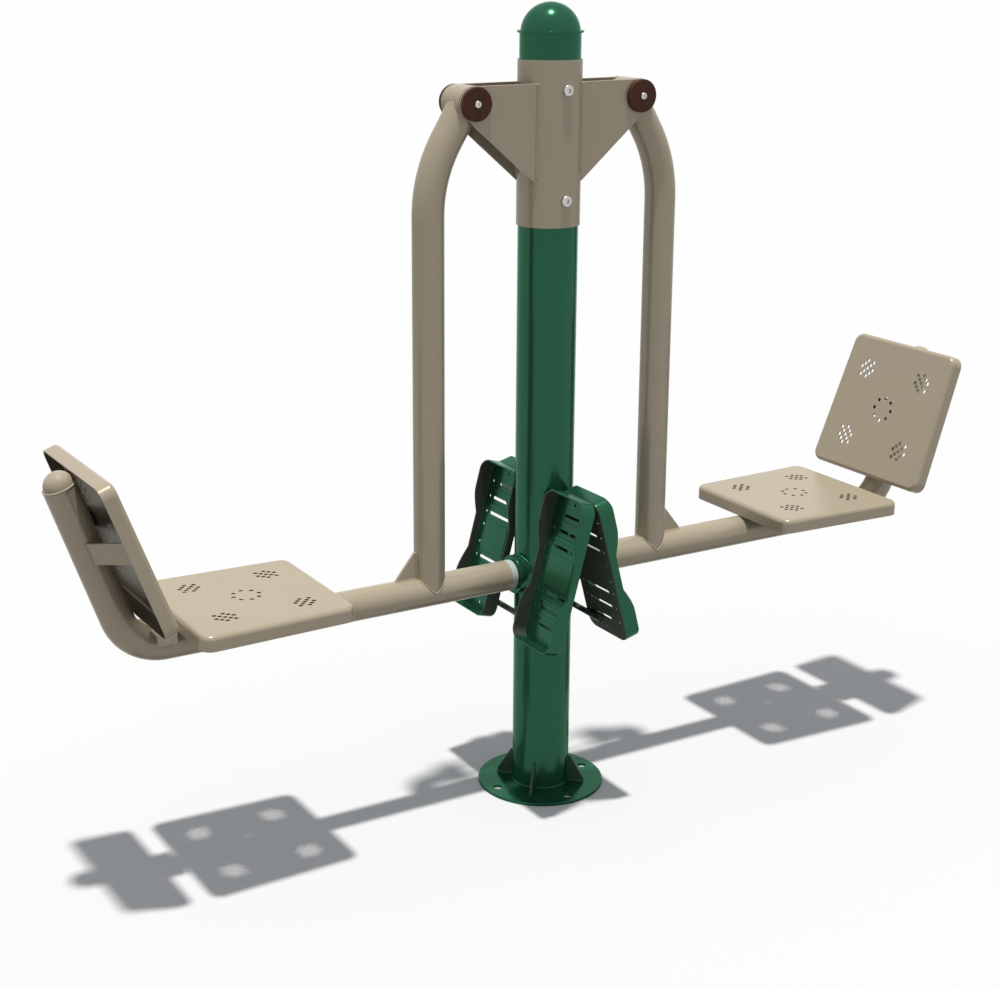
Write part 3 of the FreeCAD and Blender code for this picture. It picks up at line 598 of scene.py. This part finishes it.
def weld_piece(name, body, slot, seams):
    """Rippled beads along seams, each a route with the bead's radius."""
    welds = bpy.context.scene.leg_press_welds
    curve = bpy.data.curves.new(name, "CURVE")
    curve.dimensions = "3D"
    curve.bevel_depth = 1.0
    curve.bevel_resolution = 2
    curve.use_fill_caps = True
    for route, radius in seams:
        points = spaced(route, welds.pitch / RIPPLE_STEPS)
        spline = curve.splines.new("POLY")
        spline.points.add(len(points) - 1)
        for index, (spot, place) in enumerate(zip(spline.points, points)):
            spot.co = (*place, 1.0)
            wave = abs(math.sin(math.pi * index / RIPPLE_STEPS))
            from_end = min(index, len(points) - 1 - index)
            ease = min(1.0, BEAD_END + BEAD_END_RISE * from_end)
            spot.radius = radius * ease * (1 + welds.ripple * (wave - 0.5))
    drawn = bpy.data.objects.new(name + "_route", curve)
    bpy.context.scene.collection.objects.link(drawn)
    bpy.context.view_layer.update()
    mesh = bpy.data.meshes.new_from_object(drawn.evaluated_get(bpy.context.evaluated_depsgraph_get()))
    bpy.data.objects.remove(drawn)
    for face in mesh.polygons:
        face.use_smooth = True
    mesh.name = name
    new_piece(name, mesh, body, slot)


EAR_SEAM_START = 3


def ear_seams(radius):
    """Upright beads between the ears and the sleeve, outside and inside."""
    seams = []
    foot = EAR_FOOT + radius * EAR_SEAM_START
    for side in SIDES.values():
        for end in ENDS.values():
            for away in (EAR_OUTER_Y, EAR_INNER_Y):
                x = side * math.sqrt(SLEEVE_RADIUS ** 2 - away ** 2)
                seams.append((line((x, end * away, foot), (x, end * away, EAR_TOP)), radius))
    return seams


BASE_WEB_HALF = 0.002


def base_seams(radius):
    """Ring round the foot of the post and beads along the base gussets."""
    ring = arc(Z_AXIS * FLANGE_TOP, X_AXIS, Y_AXIS, POST_RADIUS, 0, 2 * math.pi)
    seams = [(ring, radius)]
    for quarter in range(4):
        turn = math.radians(45 + 90 * quarter)
        out = Vector((math.cos(turn), math.sin(turn), 0))
        across = Vector((-out.y, out.x, 0)) * BASE_WEB_HALF
        for side in SIDES.values():
            root = out * POST_RADIUS + across * side
            seams.append((line(root + Z_AXIS * FLANGE_TOP, root + Z_AXIS * GUSSET_TOP), radius))
            toe = out * GUSSET_REACH + across * side
            seams.append((line(root + Z_AXIS * FLANGE_TOP, toe + Z_AXIS * FLANGE_TOP), radius))
    return seams


def stub_seams(radius):
    """Saddle beads round the stop stubs."""
    seams = []
    for side in SIDES.values():
        along = X_AXIS * side
        foot = Vector((0, 0, BEAM_Z))
        seams.append((saddle(foot, along, Y_AXIS, STUB_RADIUS, Vector(), Z_AXIS, POST_RADIUS), radius))
    return seams


TRAY_SEAM_FOOT = 0.573
TRAY_SEAM_TOP = 0.642


def tray_seams(radius):
    """Beads that hold the inner walls of the foot trays to the post."""
    seams = []
    x = math.sqrt(POST_RADIUS ** 2 - TRAY_INNER_Y ** 2)
    for side in SIDES.values():
        for end in ENDS.values():
            spot = (side * x, end * TRAY_INNER_Y)
            seams.append((line((*spot, TRAY_SEAM_FOOT), (*spot, TRAY_SEAM_TOP)), radius))
    return seams


BAR_BEAD_HALF = 0.009
BAR_BEAD_RISE = 0.6


def bar_seams(radius):
    """Short beads above and below the foot bars where they touch the post."""
    seams = []
    angle = BAR_BEAD_HALF / POST_RADIUS
    for name, side in SIDES.items():
        low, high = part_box(name + "_foot_bar")
        middle = (low + high) / 2
        half_bar = (high.z - low.z) / 2
        for rise in (-BAR_BEAD_RISE, BAR_BEAD_RISE):
            centre = Vector((0, 0, middle.z + rise * half_bar))
            seams.append((arc(centre, X_AXIS * side, Y_AXIS, POST_RADIUS, -angle, angle, steps=12), radius))
    return seams


ARM_LEAN = math.radians(31.1)
ARM_WEB_HALF = 0.003
ARM_TOP_BEAD = 0.6
ARM_FOOT_BEAD = 0.8
WELD_LIFT = 0.0002


def arm_seams(side_name, radius):
    """Beads round both ends of a swing arm and along its gusset."""
    side = SIDES[side_name]
    pivot = PIVOTS[side_name + "_swing"]
    leaving = Vector((side * math.sin(ARM_LEAN), 0, -math.cos(ARM_LEAN)))
    top = saddle(pivot, leaving, Y_AXIS, TUBE_RADIUS, pivot, Y_AXIS, HOUSING_RADIUS)
    foot = Vector((side * ARM_X, 0, BEAM_Z))
    bottom = saddle(foot, Z_AXIS, Y_AXIS, TUBE_RADIUS, foot, X_AXIS, TUBE_RADIUS + WELD_LIFT)
    seams = [(top, radius * ARM_TOP_BEAD), (bottom, radius * ARM_FOOT_BEAD)]
    root = Vector((side * (ARM_X + TUBE_RADIUS), 0, BEAM_Z + TUBE_RADIUS))
    for plate in SIDES.values():
        face = Y_AXIS * (plate * ARM_WEB_HALF)
        crest = Vector((root.x, 0, ARM_GUSSET_HIGH.z))
        toe = Vector((side * ARM_GUSSET_HIGH.x, 0, root.z))
        seams.append((line(root + face, crest + face), radius))
        seams.append((line(root + face, toe + face), radius))
    return seams


CHANNEL_WIDTH = 0.027
CHANNEL_WRAP = math.radians(45.6)


def bracket_seams(side_name, radius):
    """Beads of the seat channels over the beam."""
    side = SIDES[side_name]
    low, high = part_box(side_name + "_seat_brackets")
    inner, outer = sorted((abs(low.x), abs(high.x)))
    seams = []
    for x in (inner, inner + CHANNEL_WIDTH, outer - CHANNEL_WIDTH, outer):
        centre = Vector((side * x, 0, BEAM_Z))
        seams.append((arc(centre, Z_AXIS, Y_AXIS, TUBE_RADIUS, -CHANNEL_WRAP, CHANNEL_WRAP, steps=24), radius))
    return seams


BACK_FOOT = (0.8240, 0.5315)
WING_EDGES = ((0.0300, 0.0573), (0.0296, 0.0622))
WING_SPAN = (0.1332, 0.1761)
SADDLE_WRAP = math.radians(22)


def back_seams(side_name, radius):
    """Beads of the backrest's wings on the upright and of the saddle plate on the beam."""
    side = SIDES[side_name]
    up = Vector((side * math.sin(BACK_RECLINE), 0, math.cos(BACK_RECLINE)))
    facing = Vector((-side * math.cos(BACK_RECLINE), 0, math.sin(BACK_RECLINE)))
    foot = Vector((side * BACK_FOOT[0], 0, BACK_FOOT[1]))
    seams = []
    for wing in ENDS.values():
        for reach, depth in WING_EDGES:
            spot = foot + Y_AXIS * (wing * reach) - facing * depth
            seams.append((line(spot + up * WING_SPAN[0], spot + up * WING_SPAN[1]), radius))
    low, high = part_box(side_name + "_saddle_plate")
    for x in (low.x, high.x):
        centre = Vector((x, 0, BEAM_Z))
        seams.append((arc(centre, Z_AXIS, Y_AXIS, TUBE_RADIUS, -SADDLE_WRAP, SADDLE_WRAP, steps=12), radius))
    return seams


# Stage

def seen_rays(graph):
    """One for rays that show the stage itself, and nought for the light it sends back."""
    kinds = [graph.node("ShaderNodeLightPath", output=name)
             for name in ("Is Camera Ray", "Is Glossy Ray", "Is Transmission Ray")]
    return kinds[0] + kinds[1] + kinds[2]


def make_floor(context):
    stage = context.scene.leg_press_stage
    shape = bmesh.new()
    bmesh.ops.create_grid(shape, x_segments=1, y_segments=1, size=stage.floor_size / 2)
    floor = bpy.data.objects.new("floor", to_mesh(shape, "floor"))
    context.scene.collection.objects.link(floor)

    def build(graph):
        shown = graph.node("ShaderNodeBsdfDiffuse", inputs={"Color": (*stage.floor_colour, 1.0)})
        sent = graph.node("ShaderNodeBsdfDiffuse", inputs={"Color": (*stage.floor_bounce, 1.0)})
        mixed = graph.node("ShaderNodeMixShader", inputs={0: seen_rays(graph), 1: sent, 2: shown})
        graph.node("ShaderNodeOutputMaterial", inputs={"Surface": mixed})

    floor.data.materials.append(material("pale_floor", build))


def make_light(context):
    stage = context.scene.leg_press_stage
    lamp = bpy.data.lights.new("high_lamp", "SUN")
    lamp.energy = stage.sun_strength
    lamp.color = stage.sun_colour
    lamp.angle = stage.sun_spread
    sun = bpy.data.objects.new("high_lamp", lamp)
    sun.rotation_mode = "QUATERNION"
    sun.rotation_quaternion = Vector(stage.sun_aim).to_track_quat("-Z", "Y")
    context.scene.collection.objects.link(sun)
    world = bpy.data.worlds.new("studio")
    world.use_nodes = True
    context.scene.world = world
    graph = Graph(world.node_tree)
    even = graph.node("ShaderNodeBackground", inputs={"Color": (*stage.sky_colour, 1.0),
                                                      "Strength": stage.sky_strength})
    white = graph.node("ShaderNodeBackground", inputs={"Color": (1, 1, 1, 1), "Strength": 1.0})
    mixed = graph.node("ShaderNodeMixShader", inputs={0: seen_rays(graph), 1: even, 2: white})
    graph.node("ShaderNodeOutputWorld", inputs={"Surface": mixed})


def make_camera(context):
    stage = context.scene.leg_press_stage
    camera = bpy.data.objects.new("camera", bpy.data.cameras.new("camera"))
    camera.data.lens = stage.lens
    camera.data.shift_x = stage.shift_x
    camera.data.shift_y = stage.shift_y
    camera.data.clip_end = stage.floor_size
    camera.location = stage.camera_place
    camera.rotation_euler = (math.pi / 2 - stage.camera_dip, 0, -stage.camera_heading)
    context.scene.collection.objects.link(camera)
    context.scene.camera = camera


# Operators

class LEGPRESS_OT_post(bpy.types.Operator):
    """Finish the post, its base, its cap, the stop stubs and the foot bars"""

    bl_idname = "leg_press.post"
    bl_label = "Post and Base"

    def execute(self, context):
        edges = context.scene.leg_press_edges
        coat_nodes("post_tube")
        rounded_piece("base_flange", edges.plate)
        # Painted shade over the whole of the base webs.
        rounded_piece("base_gussets", edges.plate, painted_shade=evenly(WEB_PAINTED_SHADE))
        rounded_piece("post_cap", edges.plate, flat=False)
        for side in SIDES:
            rounded_piece(side + "_stop_stub", edges.plate)
            # Painted shade over the whole of each foot bar.
            rounded_piece(side + "_foot_bar", edges.plate, painted_shade=evenly(BAR_PAINTED_SHADE))
        return {"FINISHED"}


class LEGPRESS_OT_head(bpy.types.Operator):
    """Finish the head sleeve, its ears and its bolts"""

    bl_idname = "leg_press.head"
    bl_label = "Head Sleeve"

    def execute(self, context):
        edges = context.scene.leg_press_edges
        rounded_piece("head_sleeve", edges.sheet)
        for side in SIDES:
            for end in ENDS:
                # Painted shade on the faces of the ears that look at the pivot.
                rounded_piece(f"{side}_{end}_ear", edges.plate, painted_shade=ear_painted_shade(end))
        rounded_piece("sleeve_bolts", edges.fine, flat=False)
        rounded_piece("sleeve_nuts", edges.fine, flat=False)
        return {"FINISHED"}


class LEGPRESS_OT_trays(bpy.types.Operator):
    """Finish the four foot trays"""

    bl_idname = "leg_press.trays"
    bl_label = "Foot Trays"

    def execute(self, context):
        edges = context.scene.leg_press_edges
        for side in SIDES:
            for end in ENDS:
                # Painted shade on the backs, wall insides, wall along the post and one cut edge of each tray.
                rounded_piece(f"{side}_{end}_foot_plate", edges.sheet, painted_shade=tray_painted_shade(side, end))
        return {"FINISHED"}


class LEGPRESS_OT_pivots(bpy.types.Operator):
    """Finish the pivots, their covers and their bearings"""

    bl_idname = "leg_press.pivots"
    bl_label = "Pivots"

    def execute(self, context):
        edges = context.scene.leg_press_edges
        for side in SIDES:
            rounded_piece(side + "_pivot_caps", edges.fine, flat=False)
            rounded_piece(side + "_cap_screws", edges.fine, flat=False)
            rounded_piece(side + "_pivot_housing", edges.sheet)
            coat_nodes(side + "_pivot_shaft", side + "_bearing_inner_rings", side + "_bearing_spacers",
                       side + "_bearing_outer_rings", side + "_bearing_balls")
        return {"FINISHED"}


class LEGPRESS_OT_arms(bpy.types.Operator):
    """Finish the swing arms, the seat beams, their caps and bumpers"""

    bl_idname = "leg_press.arms"
    bl_label = "Swing Arms"

    def execute(self, context):
        edges = context.scene.leg_press_edges
        for side in SIDES:
            coat_nodes(side + "_arm_tube", side + "_beam_tube", side + "_beam_bumper")
            rounded_piece(side + "_arm_gusset", edges.plate)
            rounded_piece(side + "_upright_cap", edges.sheet, flat=False)
        return {"FINISHED"}


class LEGPRESS_OT_seats(bpy.types.Operator):
    """Finish the seat and backrest pans, their brackets and fixings"""

    bl_idname = "leg_press.seats"
    bl_label = "Seats and Backrests"

    def execute(self, context):
        edges = context.scene.leg_press_edges
        for side in SIDES:
            seat, back = side + "_seat_pan", side + "_backrest_pan"
            # Painted shade on the hollow side of each seat and backrest pan.
            rounded_piece(seat, edges.sheet, painted_shade=pan_painted_shade(seat))
            rounded_piece(back, edges.sheet, painted_shade=pan_painted_shade(back, math.pi / 2 - BACK_RECLINE))
            for bracket in ("seat_brackets", "back_bracket", "saddle_plate"):
                rounded_piece(f"{side}_{bracket}", edges.sheet)
            coat_nodes(side + "_pan_studs", side + "_pan_nuts")
        return {"FINISHED"}


class LEGPRESS_OT_welds(bpy.types.Operator):
    """Lay the weld beads along the seams"""

    bl_idname = "leg_press.welds"
    bl_label = "Weld Beads"

    def execute(self, context):
        welds = context.scene.leg_press_welds
        weld_piece("sleeve_welds", "post", "taupe_coat", ear_seams(welds.radius))
        seams = base_seams(welds.small_radius) + stub_seams(welds.radius)
        seams += tray_seams(welds.small_radius) + bar_seams(welds.small_radius)
        weld_piece("post_welds", "post", "green_coat", seams)
        for side in SIDES:
            seams = arm_seams(side, welds.small_radius) + bracket_seams(side, welds.small_radius)
            seams += back_seams(side, welds.small_radius)
            weld_piece(side + "_arm_welds", side + "_swing", "taupe_coat", seams)
        return {"FINISHED"}


class LEGPRESS_OT_stage(bpy.types.Operator):
    """Set the floor, the light and the camera"""

    bl_idname = "leg_press.stage"
    bl_label = "Stage"

    def execute(self, context):
        context.scene.view_settings.view_transform = "Standard"
        make_floor(context)
        make_light(context)
        make_camera(context)
        return {"FINISHED"}


class LEGPRESS_PT_sidebar(bpy.types.Panel):
    """Lists the values and the steps that dress the leg press"""

    bl_idname = "LEGPRESS_PT_sidebar"
    bl_label = "Leg Press"
    bl_space_type = "VIEW_3D"
    bl_region_type = "UI"
    bl_category = "Leg Press"

    def draw(self, context):
        for name, group in GROUPS.items():
            box = self.layout.box()
            for value in group.__annotations__:
                box.prop(getattr(context.scene, name), value)
        for step in STEPS:
            self.layout.operator(step.bl_idname)


STEPS = (LEGPRESS_OT_post, LEGPRESS_OT_head, LEGPRESS_OT_trays, LEGPRESS_OT_pivots, LEGPRESS_OT_arms,
         LEGPRESS_OT_seats, LEGPRESS_OT_welds, LEGPRESS_OT_stage)
GROUPS = {"leg_press_coats": LegPressCoats, "leg_press_edges": LegPressEdges,
          "leg_press_welds": LegPressWelds, "leg_press_stage": LegPressStage}


def register():
    for group in GROUPS.values():
        bpy.utils.register_class(group)
    for name, group in GROUPS.items():
        setattr(bpy.types.Scene, name, PointerProperty(type=group))
    for step in STEPS:
        bpy.utils.register_class(step)
    bpy.utils.register_class(LEGPRESS_PT_sidebar)


def unregister():
    bpy.utils.unregister_class(LEGPRESS_PT_sidebar)
    for step in reversed(STEPS):
        bpy.utils.unregister_class(step)
    for name in GROUPS:
        delattr(bpy.types.Scene, name)
    for group in reversed(list(GROUPS.values())):
        bpy.utils.unregister_class(group)


def main():
    register()
    bpy.ops.leg_press.post()
    bpy.ops.leg_press.head()
    bpy.ops.leg_press.trays()
    bpy.ops.leg_press.pivots()
    bpy.ops.leg_press.arms()
    bpy.ops.leg_press.seats()
    bpy.ops.leg_press.welds()
    bpy.ops.leg_press.stage()


if __name__ == "__main__":
    main()
